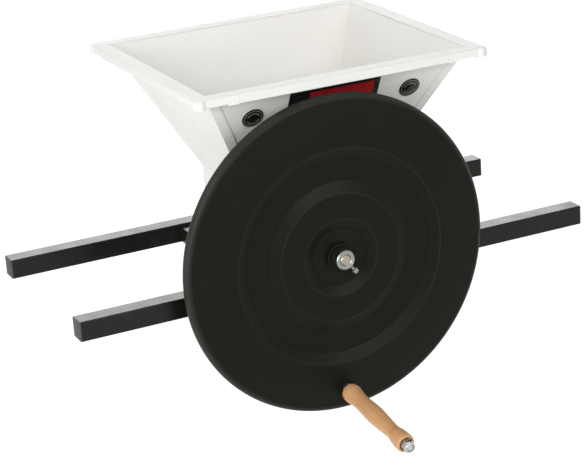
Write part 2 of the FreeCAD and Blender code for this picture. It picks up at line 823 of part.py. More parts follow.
def flywheel_hub():
    bore = shaft_radius + seat_clearance
    back = centre_height - wheel_sheet
    points = [V(bore, 0, -hub_tail), V(hub_radius, 0, -hub_tail), V(hub_radius, 0, back - hub_flange),
              V(hub_flange_radius, 0, back - hub_flange), V(hub_flange_radius, 0, back),
              V(hub_radius, 0, back), V(hub_radius, 0, hub_front), V(bore, 0, hub_front)]
    hub = on_shaft(revolved(Part.Face(Part.makePolygon(points + [points[0]]))), wheel_plane)
    return hub.cut(key_space(seat_clearance))


def hub_ring():
    """Stepped ring on the hub, against the disc's front face."""
    bore = hub_radius + seat_clearance
    outer = hub_ring_radius
    groove = outer - hub_ring_groove
    outline = [(bore, 0), (outer, 0), (outer, hub_ring_groove_start), (groove, hub_ring_groove_start),
               (groove, hub_ring_groove_end), (outer, hub_ring_groove_end), (outer, hub_ring_bevel_start),
               (groove, hub_ring_width), (bore, hub_ring_width)]
    points = [V(radius, 0, height) for radius, height in outline]
    shape = revolved(Part.Face(Part.makePolygon(points + [points[0]])))
    return on_shaft(shape.translated(V(0, 0, centre_height)), wheel_plane)


def set_collar(plane, angle):
    """Set collar with its back at y = plane and its screw hole at an angle seen from the front."""
    piece = ring(collar_radius, shaft_radius + seat_clearance, collar_width, collar_chamfer)
    piece = on_shaft(piece, plane)
    out = V(math.cos(math.radians(angle)), 0, math.sin(math.radians(angle)))
    middle = V(shaft_offset, plane - collar_width / 2, shaft_z)
    return piece.cut(rod(m6["r"] + seat_clearance, middle, out, 2 * collar_radius))


def collar_screw(plane, angle):
    """Square-headed set screw, its point on the shaft and its head clear of the collar."""
    out = V(math.cos(math.radians(angle)), 0, math.sin(math.radians(angle)))
    neck = collar_radius + collar_screw_neck
    shank = rod(m6["r"], V(0, 0, shaft_radius), V(0, 0, 1), neck - shaft_radius)
    half = set_screw_head / 2
    head = box(-half, half, -half, half, neck, neck + set_screw_head_length)
    screw = shank.fuse(head)
    return aimed(screw, V(shaft_offset, plane - collar_width / 2, shaft_z), out)


def front_collar_plane():
    return wheel_plane - hub_front


def rear_collar_plane():
    return bush_front + body_clearance + collar_width


def shaft_spacer():
    """Tube between the flywheel's hub and the front bush."""
    front = wheel_plane + hub_tail
    back = -bush_front - body_clearance
    outer = shaft_radius + spacer_wall
    return on_shaft(ring(outer, shaft_radius + seat_clearance, back - front), back)


# Crank: built along Z from the wheel's outer face, then turned square to the wheel's conical band

def on_crank(shape):
    angle = math.radians(crank_angle)
    out = V(math.cos(angle), 0, math.sin(angle))
    splay = math.radians(cone_angle)
    height = band_height - (crank_radius - band_inner) * band_drop
    place = V(shaft_offset, wheel_plane - height, shaft_z) + out * crank_radius
    return aimed(shape, place, V(0, -math.cos(splay), 0) + out * math.sin(splay))


def grip_start():
    return m10["nut"] + crank_washer + body_clearance


def outer_washer_start():
    return grip_start() + grip_length - grip_recess + body_clearance


def lock_nut_start():
    return outer_washer_start() + crank_washer


def crank_bolt():
    tail = wheel_sheet + m10["nut"] + bolt_end
    tip = lock_nut_start() + lock_nut_length
    return on_crank(rod(m10["r"], V(0, 0, -tail), V(0, 0, 1), tail + tip))


def crank_nuts():
    front = nut(m10)
    front.rotate(V(0, 0, 0), V(0, 0, 1), crank_nut_turn)
    back = front.translated(V(0, 0, -wheel_sheet - seat_clearance - m10["nut"]))
    return [on_crank(front), on_crank(back)]


def crank_washers():
    washer = ring(crank_washer_radius, m10["r"] + seat_clearance, crank_washer)
    return [on_crank(washer.translated(V(0, 0, start))) for start in (m10["nut"], outer_washer_start())]


def crank_lock_nut():
    """Lock nut: a hexagon with a rounded collar round the bolt's end."""
    body = hexagon(m10["flats"], lock_nut_hexagon)
    outline = [V(0, 0, 0), V(lock_collar_radius, 0, 0), V(lock_collar_radius, 0, lock_nut_length),
               V(0, 0, lock_nut_length)]
    collar = revolved(closed_face(outline, [0, 0, lock_collar_round, 0]))
    bore = rod(m10["r"] + seat_clearance, V(0, 0, -lock_nut_length), V(0, 0, 1), 3 * lock_nut_length)
    return on_crank(body.fuse(collar).cut(bore).removeSplitter().translated(V(0, 0, lock_nut_start())))


def grip():
    """Turned wooden grip, bored for the crank bolt and recessed at its outer end."""
    points = [V(radius, 0, share * grip_length) for share, radius in grip_outline]
    curve = Part.BSplineCurve()
    curve.interpolate(points)
    ends = [V(0, 0, 0), V(0, 0, grip_length)]
    edges = [Part.LineSegment(ends[0], points[0]).toShape(), curve.toShape(),
             Part.LineSegment(points[-1], ends[1]).toShape(), Part.LineSegment(ends[1], ends[0]).toShape()]
    body = revolved(Part.Face(Part.Wire(edges)))
    body = body.cut(rod(m10["r"] + grip_bore_clearance, V(0, 0, -grip_length), V(0, 0, 1), 2 * grip_length))
    recess = m10["flats"] / math.sqrt(3) + grip_recess_gap
    body = body.cut(rod(recess, V(0, 0, grip_length - grip_recess), V(0, 0, 1), grip_length))
    return on_crank(body.translated(V(0, 0, grip_start())))


def pieces():
    """Every sub-part by its node's name: one solid, or a list of separate ones."""
    return {
        "front_rail": rail(-1),
        "back_rail": rail(1),
        "rail_end_plugs": rail_end_plugs(),
        "left_cross_tube": cross_tube(-1),
        "right_cross_tube": cross_tube(1),
        "hopper_front_panel": hopper_end_panel(-1),
        "hopper_back_panel": hopper_end_panel(1),
        "hopper_left_panel": hopper_side_panel(-1),
        "hopper_right_panel": hopper_side_panel(1),
        "front_rim_profile": rim_profile("-y"),
        "back_rim_profile": rim_profile("y"),
        "left_rim_profile": rim_profile("-x"),
        "right_rim_profile": rim_profile("x"),
        "front_left_rim_corner": rim_corner(-1, -1),
        "front_right_rim_corner": rim_corner(1, -1),
        "back_left_rim_corner": rim_corner(-1, 1),
        "back_right_rim_corner": rim_corner(1, 1),
        "front_label": front_label(),
        "front_badges": front_badges(),
        "hopper_bolts": hopper_bolts(),
        "hopper_nuts": hopper_nuts(),
        "front_bearing_block": bearing_block(-1),
        "back_bearing_block": bearing_block(1),
        "bearing_bolts": bearing_bolts(),
        "bearing_nuts": bearing_nuts(),
        "front_bush": bush(-1),
        "back_bush": bush(1),
        "wall_bushes": wall_bushes(),
        "breast_plate": breast_plate(),
        "breast_comb": breast_comb(),
        "deflector_plate": deflector_plate(),
        "plate_bolts": plate_bolts(),
        "plate_nuts": plate_nuts(),
        "comb_bolts": comb_bolts(),
        "comb_nuts": comb_nuts(),
        "shaft": shaft(),
        "drum": drum(),
        "knives": knives(),
        "knife_screws": knife_screws(),
        "drum_pins": drum_pins(),
        "hub_key": key_space(0),
        "shaft_spacer": shaft_spacer(),
        "flywheel_disc": flywheel_disc(),
        "flywheel_hub": flywheel_hub(),
        "hub_ring": hub_ring(),
        "set_collar": set_collar(front_collar_plane(), collar_screw_angle),
        "collar_screw": collar_screw(front_collar_plane(), collar_screw_angle),
        "rear_collar": set_collar(rear_collar_plane(), collar_screw_angle),
        "rear_collar_screw": collar_screw(rear_collar_plane(), collar_screw_angle),
        "crank_bolt": crank_bolt(),
        "crank_nuts": crank_nuts(),
        "crank_washers": crank_washers(),
        "crank_lock_nut": crank_lock_nut(),
        "grip": grip(),
    }


os.makedirs("parts", exist_ok=True)
for node, shape in pieces().items():
    solids = shape if isinstance(shape, list) else [shape]
    whole = Part.makeCompound(solids) if len(solids) > 1 else solids[0]
    print(node, len(whole.Solids), whole.isValid(), round(whole.Volume, 1))
    whole.exportStep("parts/" + node + ".step")
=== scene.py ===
"""Looks of the hand-cranked apple mill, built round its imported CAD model. Metres, in the model's own frame."""

import json
import math

import bmesh
import bpy
from mathutils import Matrix, Vector

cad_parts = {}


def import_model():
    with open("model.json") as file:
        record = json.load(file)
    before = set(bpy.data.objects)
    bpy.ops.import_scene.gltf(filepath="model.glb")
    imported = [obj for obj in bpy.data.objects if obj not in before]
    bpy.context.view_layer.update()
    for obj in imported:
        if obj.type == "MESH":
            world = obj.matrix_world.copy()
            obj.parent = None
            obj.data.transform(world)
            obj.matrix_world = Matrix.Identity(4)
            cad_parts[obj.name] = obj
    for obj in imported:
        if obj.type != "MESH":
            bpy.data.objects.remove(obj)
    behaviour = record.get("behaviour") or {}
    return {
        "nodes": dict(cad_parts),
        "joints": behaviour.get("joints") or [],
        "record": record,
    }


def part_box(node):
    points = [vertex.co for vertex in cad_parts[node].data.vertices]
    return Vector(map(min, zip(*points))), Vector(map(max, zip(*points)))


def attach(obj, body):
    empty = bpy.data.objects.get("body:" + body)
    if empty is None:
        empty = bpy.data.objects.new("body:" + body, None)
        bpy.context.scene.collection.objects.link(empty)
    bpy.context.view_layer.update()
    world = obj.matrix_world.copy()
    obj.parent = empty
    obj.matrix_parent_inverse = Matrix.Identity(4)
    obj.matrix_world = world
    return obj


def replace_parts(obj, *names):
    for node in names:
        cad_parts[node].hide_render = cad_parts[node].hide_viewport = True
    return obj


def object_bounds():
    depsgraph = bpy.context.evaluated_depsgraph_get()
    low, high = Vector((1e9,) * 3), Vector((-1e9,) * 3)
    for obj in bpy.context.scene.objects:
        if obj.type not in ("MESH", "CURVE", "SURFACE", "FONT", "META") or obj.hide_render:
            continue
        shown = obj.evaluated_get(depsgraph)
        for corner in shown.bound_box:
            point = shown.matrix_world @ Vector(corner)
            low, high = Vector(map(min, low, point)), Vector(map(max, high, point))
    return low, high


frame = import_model()
cad_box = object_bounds()
nodes = frame["nodes"]
joints = {joint["name"]: joint for joint in frame["joints"]}
slots = {part["node"]: part["material_slot"] for part in frame["record"]["subparts"]}
mm = 0.001
sharp_angle = math.radians(28.0)

# Camera, fitted to the photograph
image_width = 587
camera_place = Vector((-1.236, -2.640, 1.073))
camera_azimuth = math.radians(-25.042)
camera_elevation = math.radians(19.659)
camera_roll = math.radians(-3.694)
focal_pixels = 2002.08
sensor_width = 36.0

# Light: the world's strength, the floor's tone as it lights the part and as it is seen, its own glow where it is
# seen, how far below the part it lies, its half width, and the lamps as name, place, size and power
world_strength = 0.43
floor_lighting = 0.80
floor_seen = 0.30
floor_glow = 0.84
floor_drop = 0.40
floor_reach = 12.0
lamp_target = (0, 0, 0.1)
lamps = [
    ("key", (-2.7, -1.4, 0.95), (1.4, 2.2), 62.0),
    ("front", (0.5, -3.1, 1.5), (2.4, 0.9), 39.0),
    ("back", (0.9, 3.0, 1.3), (3.2, 1.2), 46.0),
    ("top", (0.0, 0.2, 3.0), (2.0, 2.0), 4.0),
]

# Flywheel: radii, heights above the plane that the press measures from, and the radii of its bends
shaft_place = Vector(joints["flywheel_spin"]["pos_m"])
wheel_plane = -203.98 * mm
wheel_radius = 241.0 * mm
wheel_sheet = 3.0 * mm
wheel_skirt = 10.5 * mm
wheel_bead = 5.5 * mm
wheel_edge_round = 10.0 * mm
press_round = 4.5 * mm
cone_angle = math.radians(6.0)
band_inner = 164.0 * mm
band_height = 17.0 * mm
recess_outer = 147.5 * mm
recess_inner = 114.5 * mm
recess_height = 8.0 * mm
disc_outer = 96.5 * mm
disc_inner = 58.5 * mm
disc_height = 16.0 * mm
centre_radius = 43.5 * mm
centre_height = 8.5 * mm
wheel_edge = band_height - (wheel_radius - band_inner) * math.tan(cone_angle)
wheel_back = wheel_edge - wheel_skirt
wheel_segments = 288

# Shaft, hub, the ring on it and the set collars
shaft_radius = 8.0 * mm
shaft_chamfer = 1.3 * mm
centre_drill = 0.9 * mm
hub_radius = 16.5 * mm
hub_tail = 8.0 * mm
hub_flange_radius = 40.0 * mm
hub_flange = 4.0 * mm
hub_front = 18.5 * mm
hub_bevel = 0.8 * mm
ring_radius = 20.5 * mm
ring_width = 6.0 * mm
ring_groove = 1.2 * mm
ring_bevel = 0.3 * mm
groove_low, groove_high, ring_shoulder = 2.4 * mm, 3.3 * mm, 5.1 * mm
collar_radius = 14.6 * mm
collar_width = 12.0 * mm
collar_chamfer = 1.2 * mm
collar_bevel = 0.3 * mm
collar_lip = 2.6 * mm
collar_step = 0.25 * mm
collar_screw_angle = math.radians(-51.0)
set_screw_square = 7.0 * mm

# Crank, measured along its bolt from the wheel's face
crank_radius = 5.0 * mm
crank_flats = 17.0 * mm
crank_nut = 5.0 * mm
crank_nut_turn = math.radians(25.0)
washer_radius = 9.0 * mm
washer_thickness = 1.5 * mm
washer_chamfer = 0.2 * mm
play = 0.3 * mm
seat_gap = 0.05 * mm
crank_tail = 2.0 * mm
lock_thread = 4.0 * mm
lock_nut_length = 14.0 * mm
lock_nut_hexagon = 11.0 * mm
lock_collar_radius = 7.5 * mm
lock_collar_round = 1.6 * mm
lock_bore_bevel = 0.4 * mm
lock_step = 0.3 * mm
lock_mouth_radius = 6.3 * mm
lock_mouth_depth = 0.7 * mm
grip_length = 171.0 * mm
grip_start = crank_nut + washer_thickness + play
grip_bore = 5.25 * mm
grip_recess = 3.0 * mm
grip_recess_radius = 10.5 * mm
outer_washer = grip_start + grip_length - grip_recess + play
lock_nut_start = outer_washer + washer_thickness

# Grip: shares of its length with the radius there in millimetres, from the wheel outwards
grip_outline = [(0.0, 9.2), (0.008, 11.6), (0.03, 13.7), (0.075, 14.4), (0.15, 12.7), (0.25, 11.9),
                (0.36, 12.8), (0.48, 13.4), (0.62, 12.2), (0.78, 10.8), (0.86, 12.9), (0.94, 13.9),
                (0.985, 13.6), (1.0, 12.4)]

# Front panel, and its label and badges with the plain marks printed on them
panel_run = 99.5
panel_rise = 186.8
panel_lean = math.atan(panel_run / panel_rise)
badge_radius = 16.5 * mm
badge_edge = 1.2 * mm
badge_dome = 1.6 * mm
badge_rim = 0.7 * mm
badge_groove = 0.4 * mm
badge_ring = (13.6 * mm, 14.2 * mm)
badge_inner_ring = (8.5 * mm, 10.5 * mm)
badge_ring_break = 3.0 * mm
label_size = (146.0 * mm, 80.0 * mm, 0.6 * mm)
label_corner = 2.0 * mm
label_rounding = 0.2 * mm
field_x = (-40.0 * mm, 64.0 * mm)
field_y = (-22.0 * mm, 31.0 * mm)
rule_x = (-60.0 * mm, 64.0 * mm)
rule_height = 29.5 * mm
rule_offset = (1.6 * mm, 2.4 * mm)

# Standard fasteners: shank radius, width across flats, head height and pitch
m5 = (2.5 * mm, 8.0 * mm, 2.6 * mm, 0.8 * mm)
m6 = (3.0 * mm, 10.0 * mm, 4.0 * mm, 1.0 * mm)
m8 = (4.0 * mm, 13.0 * mm, 5.3 * mm, 1.25 * mm)
m10 = (crank_radius, crank_flats, 6.4 * mm, 1.5 * mm)

# Their finer shapes: flat end, dome, flange and nut's mouth as shares of the sizes they belong to, the thread's
# half depth as a share of its pitch, its steps in a turn, and its pointed end as a share of the radius
nut_flat_share = 0.47
nut_chamfer = math.radians(30)
nut_mouth_share = 0.08
dome_share = 0.8
dome_edge_share = 0.3
flange_share = 0.76
flange_height_share = 0.22
thread_depth = 0.28
thread_steps = 8
point_share = 0.8

# Directions of the fasteners
breast_angle = math.radians(35.0)
breast_normal = Vector((-math.sin(breast_angle), 0, math.cos(breast_angle)))
sideways = Vector((1, 0, 0))
upwards = Vector((0, 0, 1))
screw_out = Vector((math.cos(collar_screw_angle), 0, math.sin(collar_screw_angle)))


# Materials

class Finish:
    """A node material: its textures are read in the object's own space, in metres."""

    def __init__(self, name, roughness=0.4, metallic=0.0):
        self.material = bpy.data.materials.new(name)
        self.material.use_nodes = True
        self.tree = self.material.node_tree
        self.shader = self.tree.nodes["Principled BSDF"]
        self.shader.inputs["Metallic"].default_value = metallic
        self.shader.inputs["Roughness"].default_value = roughness
        self.place = self.add("ShaderNodeTexCoord").outputs["Object"]

    def add(self, kind, links=None, **settings):
        """Node of a kind, with each input either linked to a socket or set to a value."""
        node = self.tree.nodes.new(kind)
        for key, value in settings.items():
            setattr(node, key, value)
        for key, value in (links or {}).items():
            if isinstance(value, bpy.types.NodeSocket):
                self.tree.links.new(value, node.inputs[key])
            else:
                node.inputs[key].default_value = value
        return node

    def stretched(self, scale):
        return self.add("ShaderNodeMapping", {"Vector": self.place, "Scale": scale}).outputs["Vector"]

    def noise(self, scale, detail=2.0, stretch=None, distortion=0.0):
        place = self.stretched(stretch) if stretch else self.place
        links = {"Vector": place, "Scale": scale, "Detail": detail, "Distortion": distortion}
        return self.add("ShaderNodeTexNoise", links).outputs["Fac"]

    def spread(self, value, low, high, start=0.0, end=1.0):
        """Value between low and high as a number between start and end."""
        links = {"Value": value, "From Min": low, "From Max": high, "To Min": start, "To Max": end}
        return self.add("ShaderNodeMapRange", links).outputs["Result"]

    def math(self, operation, first, second=0.0):
        return self.add("ShaderNodeMath", {0: first, 1: second}, operation=operation).outputs["Value"]

    def mix(self, share, first, second):
        node = self.add("ShaderNodeMix", data_type="RGBA")
        for key, value in (("Factor", share), ("A", first), ("B", second)):
            kind = "VALUE" if key == "Factor" else "RGBA"
            socket = next(s for s in node.inputs if s.name == key and s.type == kind)
            if isinstance(value, bpy.types.NodeSocket):
                self.tree.links.new(value, socket)
            else:
                socket.default_value = value if key == "Factor" else (*value, 1.0)
        return next(s for s in node.outputs if s.type == "RGBA")

    def worn_edges(self, radius):
        """1 along convex edges of about that radius, 0 elsewhere."""
        soft = self.add("ShaderNodeBevel", {"Radius": radius}, samples=4).outputs["Normal"]
        true = self.add("ShaderNodeNewGeometry").outputs["Normal"]
        dot = self.add("ShaderNodeVectorMath", {0: soft, 1: true}, operation="DOT_PRODUCT").outputs["Value"]
        return self.spread(dot, 0.98, 0.80)

    def apart(self):
        """The place's X, Y and Z."""
        return self.add("ShaderNodeSeparateXYZ", {"Vector": self.place}).outputs

    def soft_step(self, value, edge, softness=0.0002):
        """1 where value lies above edge, 0 below."""
        return self.spread(value, edge - softness, edge + softness)

    def between(self, value, low, high):
        """1 where value lies between low and high, 0 elsewhere."""
        under = self.math("SUBTRACT", 1.0, self.soft_step(value, high))
        return self.math("MULTIPLY", self.soft_step(value, low), under)

    def distance(self, x, y):
        """Distance from a point of the local XY plane."""
        ends = self.apart()
        aside = self.math("POWER", self.math("ABSOLUTE", self.math("SUBTRACT", ends["X"], x)), 2.0)
        along = self.math("POWER", self.math("ABSOLUTE", self.math("SUBTRACT", ends["Y"], y)), 2.0)
        return self.math("SQRT", self.math("ADD", aside, along))

    def colour(self, socket):
        self.tree.links.new(socket, self.shader.inputs["Base Color"])

    def rough(self, socket):
        self.tree.links.new(socket, self.shader.inputs["Roughness"])

    def bump(self, height, depth):
        """Height between 0 and 1 as a relief that deep in metres."""
        links = {"Height": height, "Distance": depth, "Strength": 1.0}
        normal = self.add("ShaderNodeBump", links).outputs["Normal"]
        self.tree.links.new(normal, self.shader.inputs["Normal"])


def hopper_paint():
    """White powder coat: fine orange peel, faint cloudiness and a few rubbed places."""
    paint = Finish("hopper_paint")
    cloud = paint.noise(9.0, 3.0)
    tint = paint.mix(paint.spread(cloud, 0.35, 0.70), (0.815, 0.800, 0.762), (0.845, 0.832, 0.800))
    dust = paint.spread(paint.noise(60.0, 8.0), 0.62, 0.80, 0.0, 0.35)
    paint.colour(paint.mix(dust, tint, (0.750, 0.732, 0.690)))
    paint.shader.inputs["Specular IOR Level"].default_value = 0.3
    paint.rough(paint.spread(paint.noise(35.0, 4.0), 0.3, 0.7, 0.34, 0.46))
    paint.bump(paint.noise(420.0, 2.0), 0.00006)
    return paint.material


def rim_plastic():
    """White moulded plastic with a soft gloss and faint flow lines."""
    plastic = Finish("rim_plastic")
    flow = plastic.noise(14.0, 4.0, stretch=(1.0, 1.0, 5.0), distortion=0.6)
    plastic.colour(plastic.mix(plastic.spread(flow, 0.3, 0.7), (0.770, 0.765, 0.742), (0.800, 0.796, 0.776)))
    plastic.rough(plastic.spread(flow, 0.2, 0.8, 0.42, 0.52))
    plastic.bump(plastic.noise(700.0, 2.0), 0.00002)
    plastic.shader.inputs["Specular IOR Level"].default_value = 0.1
    plastic.shader.inputs["Subsurface Weight"].default_value = 0.08
    plastic.shader.inputs["Subsurface Radius"].default_value = (0.004, 0.004, 0.0035)
    return plastic.material


def black_paint(name, base, worn, peel):
    """Satin black paint: fine texture, cloudy gloss, dust and rubbed edges."""
    paint = Finish(name)
    dust = paint.spread(paint.noise(48.0, 9.0), 0.55, 0.85, 0.0, 0.5)
    dusty = paint.mix(dust, base, tuple(3.0 * c for c in base))
    paint.colour(paint.mix(paint.math("MULTIPLY", paint.worn_edges(0.0012), worn), dusty, (0.16, 0.16, 0.16)))
    paint.rough(paint.spread(paint.noise(26.0, 5.0), 0.25, 0.75, 0.22, 0.34))
    paint.bump(paint.noise(900.0, 3.0), peel)
    paint.shader.inputs["Specular IOR Level"].default_value = 0.2
    return paint.material


def wheel_paint():
    """Satin black paint over pressed sheet: fine texture and dust; lighter at its edge and at the bends that stand
    out, partly wear and partly a painted highlight; darker in the bends that lie in, as painted shade."""
    paint = Finish("wheel_paint")
    dust = paint.spread(paint.noise(42.0, 10.0), 0.56, 0.9, 0.0, 0.5)
    tone = paint.mix(dust, (0.0056, 0.0056, 0.0034), (0.0096, 0.0096, 0.0072))
    reach = paint.distance(0.0, 0.0)
    # Lighter band at the edge and lighter lines at the bends that stand out: partly wear, partly painted
    # highlight.
    wear_and_highlight = paint.spread(reach, wheel_radius - wheel_edge_round, wheel_radius - 2 * mm)
    for bend in (band_inner, disc_outer, disc_inner):
        line = paint.math("ABSOLUTE", paint.math("SUBTRACT", reach, bend))
        wear_and_highlight = paint.math("MAXIMUM", wear_and_highlight, paint.spread(line, 0.0, 1.6 * mm, 0.38, 0.0))
    patchy = paint.spread(paint.noise(9.0, 4.0), 0.3, 0.7, 0.35, 1.0)
    tone = paint.mix(paint.math("MULTIPLY", wear_and_highlight, patchy), tone, (0.038, 0.037, 0.033))
    # Darker lines in the bends that lie in: painted shade.
    for bend in (recess_outer, recess_inner, centre_radius):
        line = paint.math("ABSOLUTE", paint.math("SUBTRACT", reach, bend))
        tone = paint.mix(paint.spread(line, 0.0, 2.4 * mm, 0.6, 0.0), tone, (0.0012, 0.0012, 0.0008))
    paint.colour(paint.mix(paint.math("MULTIPLY", paint.worn_edges(0.0010), 0.15), tone, (0.06, 0.06, 0.06)))
    paint.rough(paint.spread(paint.noise(18.0, 5.0), 0.25, 0.75, 0.38, 0.48))
    paint.bump(paint.noise(1100.0, 3.0), 0.00004)
    paint.shader.inputs["Specular IOR Level"].default_value = 0.1
    return paint.material


def label_print():
    """Printed plate of a plain design: a red field on black with two fine pale rules."""
    plate = Finish("label_print", roughness=0.28)
    ends = plate.apart()
    field = plate.math("MULTIPLY", plate.between(ends["X"], *field_x), plate.between(ends["Y"], *field_y))
    rule = plate.between(plate.math("ABSOLUTE", plate.math("ADD", ends["Y"], rule_height)), *rule_offset)
    rules = plate.math("MULTIPLY", rule, plate.between(ends["X"], *rule_x))
    cloud = plate.noise(30.0, 3.0)
    red = plate.mix(cloud, (0.290, 0.008, 0.010), (0.390, 0.012, 0.014))
    tone = plate.mix(field, (0.010, 0.010, 0.011), red)
    plate.colour(plate.mix(rules, tone, (0.60, 0.59, 0.56)))
    plate.rough(plate.spread(cloud, 0.3, 0.7, 0.22, 0.34))
    plate.shader.inputs["Specular IOR Level"].default_value = 0.2
    plate.bump(plate.noise(900.0, 2.0), 0.00001)
    return plate.material


def badge_plastic():
    """Black dome of a plain design: two pale rings under a clear face, the inner one broken at the sides."""
    dome = Finish("badge_plastic", roughness=0.2)
    ends = dome.apart()
    reach = dome.distance(0.0, 0.0)
    ring = dome.between(reach, *badge_ring)
    inner = dome.math("MULTIPLY", dome.between(reach, *badge_inner_ring),
                      dome.soft_step(dome.math("ABSOLUTE", ends["Y"]), badge_ring_break))
    cloud = dome.noise(80.0, 3.0)
    tone = dome.mix(cloud, (0.006, 0.006, 0.007), (0.012, 0.012, 0.013))
    faded = dome.math("MULTIPLY", inner, dome.spread(cloud, 0.3, 0.7, 0.4, 0.9))
    tone = dome.mix(faded, tone, (0.22, 0.20, 0.165))
    dome.colour(dome.mix(ring, tone, (0.36, 0.33, 0.27)))
    dome.rough(dome.spread(dome.noise(50.0, 4.0), 0.3, 0.7, 0.14, 0.24))
    dome.shader.inputs["Specular IOR Level"].default_value = 0.2
    dome.bump(dome.noise(600.0, 2.0), 0.00001)
    return dome.material


def zinc(name, tone, roughness):
    """Bright zinc plate over steel, cloudy and slightly bluish in places."""
    metal = Finish(name, metallic=1.0)
    blot = metal.noise(160.0, 6.0)
    bluish = tuple(c * f for c, f in zip(tone, (0.94, 0.98, 1.04)))
    metal.colour(metal.mix(metal.spread(blot, 0.35, 0.65), tone, bluish))
    metal.rough(metal.spread(blot, 0.3, 0.7, roughness - 0.06, roughness + 0.08))
    metal.bump(metal.noise(500.0, 2.0), 0.00002)
    return metal.material


def brushed(name, tone, roughness, lines):
    """Sheet or bar with fine lines along one direction."""
    metal = Finish(name, metallic=1.0)
    grain = metal.noise(260.0, 6.0, stretch=lines)
    metal.colour(metal.mix(grain, tuple(0.86 * c for c in tone), tone))
    metal.rough(metal.spread(grain, 0.3, 0.7, roughness - 0.07, roughness + 0.09))
    metal.bump(grain, 0.000025)
    return metal.material


def plain_plastic(name, tone, roughness):
    """Moulded plastic with a fine grain, cloudy in its gloss."""
    plastic = Finish(name)
    grain = plastic.noise(60.0, 6.0)
    plastic.colour(plastic.mix(grain, tuple(0.8 * c for c in tone), tuple(1.2 * c for c in tone)))
    plastic.rough(plastic.spread(grain, 0.3, 0.7, roughness - 0.05, roughness + 0.08))
    plastic.bump(plastic.noise(900.0, 2.0), 0.00003)
    return plastic.material


def block_iron():
    """Black paint over a sand casting."""
    iron = Finish("block_iron")
    grain = iron.noise(320.0, 6.0)
    iron.colour(iron.mix(iron.spread(grain, 0.4, 0.7), (0.016, 0.016, 0.017), (0.034, 0.034, 0.036)))
    iron.rough(iron.spread(grain, 0.3, 0.7, 0.42, 0.60))
    iron.bump(grain, 0.00025)
    return iron.material


def grip_wood():
    """Turned beech: long grain along the grip, growth bands and short dark flecks."""
    wood = Finish("grip_wood")
    band = wood.noise(26.0, 3.0, stretch=(1.0, 1.0, 0.10), distortion=0.4)
    streak = wood.noise(170.0, 6.0, stretch=(1.0, 1.0, 0.035), distortion=0.2)
    tone = wood.mix(wood.spread(band, 0.3, 0.7), (0.560, 0.300, 0.130), (0.700, 0.410, 0.200))
    tone = wood.mix(wood.spread(streak, 0.35, 0.65, 0.0, 0.45), tone, (0.480, 0.235, 0.095))
    fleck = wood.spread(wood.noise(420.0, 1.0, stretch=(1.0, 1.0, 0.12)), 0.66, 0.72)
    wood.colour(wood.mix(wood.math("MULTIPLY", fleck, 0.30), tone, (0.230, 0.095, 0.038)))
    wood.rough(wood.spread(streak, 0.3, 0.7, 0.42, 0.56))
    wood.bump(streak, 0.00010)
    wood.shader.inputs["Coat Weight"].default_value = 0.12
    wood.shader.inputs["Coat Roughness"].default_value = 0.35
    return wood.material


materials = {
    "hopper_paint": hopper_paint(),
    "rim_plastic": rim_plastic(),
    "rail_paint": black_paint("rail_paint", (0.009, 0.009, 0.0078), 0.3, 0.00003),
    "plug_plastic": plain_plastic("plug_plastic", (0.026, 0.026, 0.028), 0.48),
    "label_print": label_print(),
    "badge_plastic": badge_plastic(),
    "zinc_steel": zinc("zinc_steel", (0.50, 0.505, 0.485), 0.27),
    # Darker copy of the same zinc: painted shade on the collars, the crank washers and the set screws.
    "shaded_zinc": zinc("shaded_zinc", (0.30, 0.31, 0.285), 0.30),
    "block_iron": block_iron(),
    "bush_bronze": brushed("bush_bronze", (0.60, 0.42, 0.20), 0.38, (1.0, 8.0, 1.0)),
    "wall_bush_plastic": plain_plastic("wall_bush_plastic", (0.66, 0.66, 0.64), 0.42),
    "plate_steel": brushed("plate_steel", (0.62, 0.63, 0.64), 0.30, (8.0, 0.25, 8.0)),
    "shaft_steel": brushed("shaft_steel", (0.40, 0.37, 0.30), 0.30, (0.4, 9.0, 0.4)),
    "drum_aluminium": brushed("drum_aluminium", (0.74, 0.75, 0.76), 0.34, (6.0, 0.3, 6.0)),
    "wheel_paint": wheel_paint(),
    "grip_wood": grip_wood(),
}


# Meshes

def piece_from(name, bm, slot, body, smooth_angle=30.0, finish=None):
    """Object made of a bmesh: smooth apart from its sharp edges, in its slot's material or a finish of its own,
    riding on a body."""
    bmesh.ops.recalc_face_normals(bm, faces=bm.faces)
    mesh = bpy.data.meshes.new(name)
    bm.to_mesh(mesh)
    bm.free()
    mesh.shade_smooth()
    mesh.set_sharp_from_angle(angle=math.radians(smooth_angle))
    mesh.materials.append(materials[finish or slot])
    piece = bpy.data.objects.new(name, mesh)
    bpy.context.scene.collection.objects.link(piece)
    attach(piece, body)
    return piece


def body_named(node):
    """Name of the body that a node belongs to."""
    bodies = frame["record"]["behaviour"]["bodies"]
    return next(body for body, members in bodies.items() if node in members)


def softened(node, width, segments):
    """Piece with a CAD node's shape and its sharp edges rounded, in the node's stead."""
    source = nodes[node].data
    bm = bmesh.new()
    bm.from_mesh(source)
    bmesh.ops.remove_doubles(bm, verts=bm.verts, dist=1e-6)
    bmesh.ops.dissolve_limit(bm, angle_limit=math.radians(0.3), verts=bm.verts, edges=bm.edges)
    bm.normal_update()
    edges = [edge for edge in bm.edges if edge.is_manifold and edge.calc_face_angle() > sharp_angle]
    bmesh.ops.bevel(bm, geom=edges, offset=width, offset_type="OFFSET", segments=segments, profile=0.5,
                    affect="EDGES", clamp_overlap=True)
    piece = piece_from(node + "_piece", bm, slots[node], body_named(node), 40.0)
    weighted = piece.modifiers.new("normals", "WEIGHTED_NORMAL")
    weighted.keep_sharp = True
    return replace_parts(piece, node)


